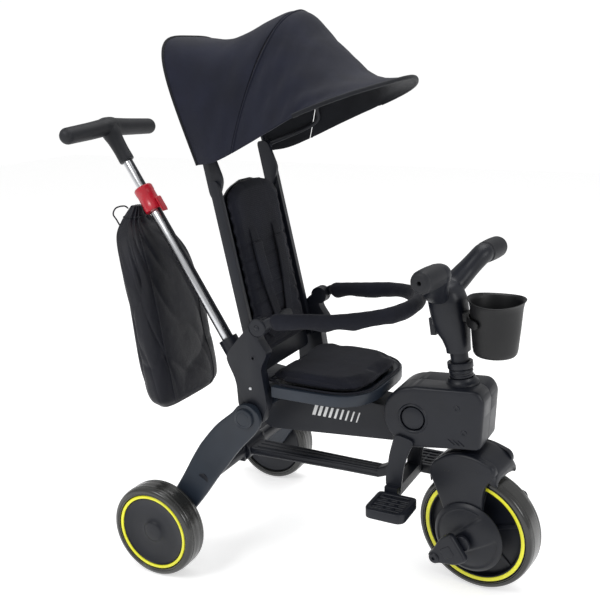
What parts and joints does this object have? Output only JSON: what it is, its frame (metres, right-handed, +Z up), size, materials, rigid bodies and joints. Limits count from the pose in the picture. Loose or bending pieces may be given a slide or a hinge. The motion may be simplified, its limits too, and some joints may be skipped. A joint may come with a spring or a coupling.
{
  "type": "children's tricycle",
  "caption": "Folding children's tricycle with canopy, padded seat, guard bar, rear push bar, footrest, storage bag and a pedalled, steered front wheel.",
  "frame": {"origin": "bottom centre of the bounding box, on the ground", "axes": "+X forward, +Y to the rider's left, +Z up"},
  "size_m": [0.9326, 0.502, 1.0322],
  "materials": {
    "black_plastic": "satin moulded plastic",
    "slate_plastic": "satin slate-grey moulding",
    "steel": "satin plated tube",
    "red_paint": "glossy red",
    "yellow_plastic": "lemon-yellow ring",
    "tyre": "smoky, slightly see-through and glossy",
    "canopy_fabric": "tight navy-black weave",
    "seat_fabric": "black woven padding",
    "bag_fabric": "thin black nylon",
    "rubber": "soft black grip"
  },
  "bodies": {
    "frame": {"main_beam": "black_plastic", "leg_pivot_bolt": "black_plastic", "side_bracket_left": "black_plastic", "side_bracket_right": "black_plastic", "seat_base": "slate_plastic", "seat_cushion": "seat_fabric", "push_bar_socket": "black_plastic", "push_tube_lower": "steel", "height_clamp": "red_paint", "back_frame": "black_plastic", "back_pad": "seat_fabric", "harness": "seat_fabric", "guard_socket_left": "black_plastic", "guard_socket_right": "black_plastic", "canopy_rear_hoop": "black_plastic", "canopy_rear_fabric": "canopy_fabric", "bag": "bag_fabric", "bag_drawstring": "bag_fabric"},
    "front_housing": {"front_housing_left": "black_plastic", "front_housing_right": "black_plastic", "steering_collar": "black_plastic", "steering_bearing": "steel", "footrest_frame": "black_plastic"},
    "steering": {"fork": "black_plastic", "steering_column": "black_plastic", "hub_cover_left": "black_plastic", "hub_cover_right": "black_plastic", "stem": "black_plastic", "handlebar": "black_plastic", "handlebar_grip_left": "rubber", "handlebar_grip_right": "rubber", "cup": "black_plastic", "cup_bracket": "black_plastic"},
    "front_wheel": {"front_tyre": "tyre", "front_rim": "black_plastic", "crank_axle": "black_plastic"},
    "pedal_left": {"pedal_left": "black_plastic"},
    "pedal_right": {"pedal_right": "black_plastic"},
    "rear_legs": {"rear_leg_left": "slate_plastic", "rear_leg_right": "slate_plastic", "leg_cross_tube": "black_plastic"},
    "link_arm": {"link_arm": "black_plastic"},
    "rear_wheel_left": {"rear_tyre_left": "tyre", "rear_rim_left": "black_plastic", "rear_ring_left": "yellow_plastic"},
    "rear_wheel_right": {"rear_tyre_right": "tyre", "rear_rim_right": "black_plastic", "rear_ring_right": "yellow_plastic"},
    "guard_bar": {"guard_bar": "seat_fabric"},
    "canopy_front": {"canopy_front_fabric": "canopy_fabric", "canopy_middle_hoop": "black_plastic"},
    "push_upper": {"push_tube_upper": "steel", "push_grip": "black_plastic"},
    "clamp_lever": {"clamp_lever": "black_plastic"},
    "fold_button_left": {"fold_button_left": "black_plastic"},
    "fold_button_right": {"fold_button_right": "black_plastic"},
    "footplate_left": {"footplate_left": "black_plastic"},
    "footplate_right": {"footplate_right": "black_plastic"},
    "lock_ring": {"steering_lock_ring": "black_plastic"},
    "stem_latch": {"stem_latch": "black_plastic"}
  },
  "joints": [
    {"name": "front_fold", "type": "hinge", "parent": "frame", "child": "front_housing", "pos_m": [0.23906, 0, 0.324], "axis": [0, -1, 0], "range_deg": [0, 36]},
    {"name": "rear_leg_fold", "type": "hinge", "parent": "frame", "child": "rear_legs", "pos_m": [-0.05194, 0, 0.312], "axis": [0, -1, 0], "range_deg": [0, 34.5]},
    {"name": "link_pivot", "type": "hinge", "parent": "rear_legs", "child": "link_arm", "pos_m": [-0.13694, 0, 0.18], "axis": [0, -1, 0], "range_deg": [-31, 0]},
    {"name": "guard_turn", "type": "hinge", "parent": "frame", "child": "guard_bar", "pos_m": [-0.02694, 0, 0.485], "axis": [0, -1, 0], "range_deg": [0, 91]},
    {"name": "steer", "type": "hinge", "parent": "front_housing", "child": "steering", "pos_m": [0.35307, 0, 0.113], "axis": [-0.1392, 0, 0.9903], "range_deg": [-26.5, 43.5]},
    {"name": "front_wheel_spin", "type": "hinge", "parent": "steering", "child": "front_wheel", "pos_m": [0.35307, 0, 0.113], "axis": [0.1464, 0.989, 0.0206], "continuous": true},
    {"name": "pedal_flip_right", "type": "hinge", "parent": "front_wheel", "child": "pedal_right", "pos_m": [0.29143, -0.07783, 0.07398], "axis": [0.5965, -0.0717, -0.7994], "range_deg": [0, 90]},
    {"name": "pedal_flip_left", "type": "hinge", "parent": "front_wheel", "child": "pedal_left", "pos_m": [0.41469, 0.07783, 0.15202], "axis": [0.5965, -0.0717, -0.7994], "range_deg": [0, 90]},
    {"name": "rear_wheel_spin_left", "type": "hinge", "parent": "rear_legs", "child": "rear_wheel_left", "pos_m": [-0.20694, 0.226, 0.09], "axis": [0, 1, 0], "continuous": true},
    {"name": "rear_wheel_spin_right", "type": "hinge", "parent": "rear_legs", "child": "rear_wheel_right", "pos_m": [-0.20694, -0.226, 0.09], "axis": [0, 1, 0], "continuous": true},
    {"name": "canopy_fold", "type": "hinge", "parent": "frame", "child": "canopy_front", "pos_m": [-0.13894, 0, 0.785], "axis": [0, 1, 0], "range_deg": [-40, 0], "deforming": ["canopy_rear_fabric"]},
    {"name": "bar_height", "type": "slide", "parent": "frame", "child": "push_upper", "axis": [-0.5367, 0, 0.8438], "range_m": [-0.06, 0.08]},
    {"name": "clamp_lever_flip", "type": "hinge", "parent": "frame", "child": "clamp_lever", "pos_m": [-0.32804, 0, 0.69035], "axis": [0, -1, 0], "range_deg": [0, 75]},
    {"name": "fold_button_press_left", "type": "slide", "parent": "front_housing", "child": "fold_button_left", "axis": [0, -1, 0], "range_m": [0, 0.004], "stiffness_N_per_m": 500},
    {"name": "fold_button_press_right", "type": "slide", "parent": "front_housing", "child": "fold_button_right", "axis": [0, 1, 0], "range_m": [0, 0.004], "stiffness_N_per_m": 500},
    {"name": "footplate_fold_left", "type": "hinge", "parent": "front_housing", "child": "footplate_left", "pos_m": [0.22007, 0.072, 0.178], "axis": [1, 0, 0], "range_deg": [0, 88]},
    {"name": "footplate_fold_right", "type": "hinge", "parent": "front_housing", "child": "footplate_right", "pos_m": [0.22007, -0.072, 0.178], "axis": [-1, 0, 0], "range_deg": [0, 88]},
    {"name": "lock_ring_lift", "type": "slide", "parent": "steering", "child": "lock_ring", "axis": [-0.1392, 0, 0.9903], "range_m": [0, 0.008]},
    {"name": "stem_latch_press", "type": "slide", "parent": "steering", "child": "stem_latch", "axis": [0.9794, -0.1478, 0.1376], "range_m": [0, 0.004], "stiffness_N_per_m": 500}
  ],
  "couplings": [
    {"joint": "rear_leg_fold", "follows": "front_fold", "ratio": 0.9425},
    {"joint": "link_pivot", "follows": "front_fold", "ratio": -0.8525},
    {"joint": "guard_turn", "follows": "front_fold", "ratio": 2.5}
  ]
}
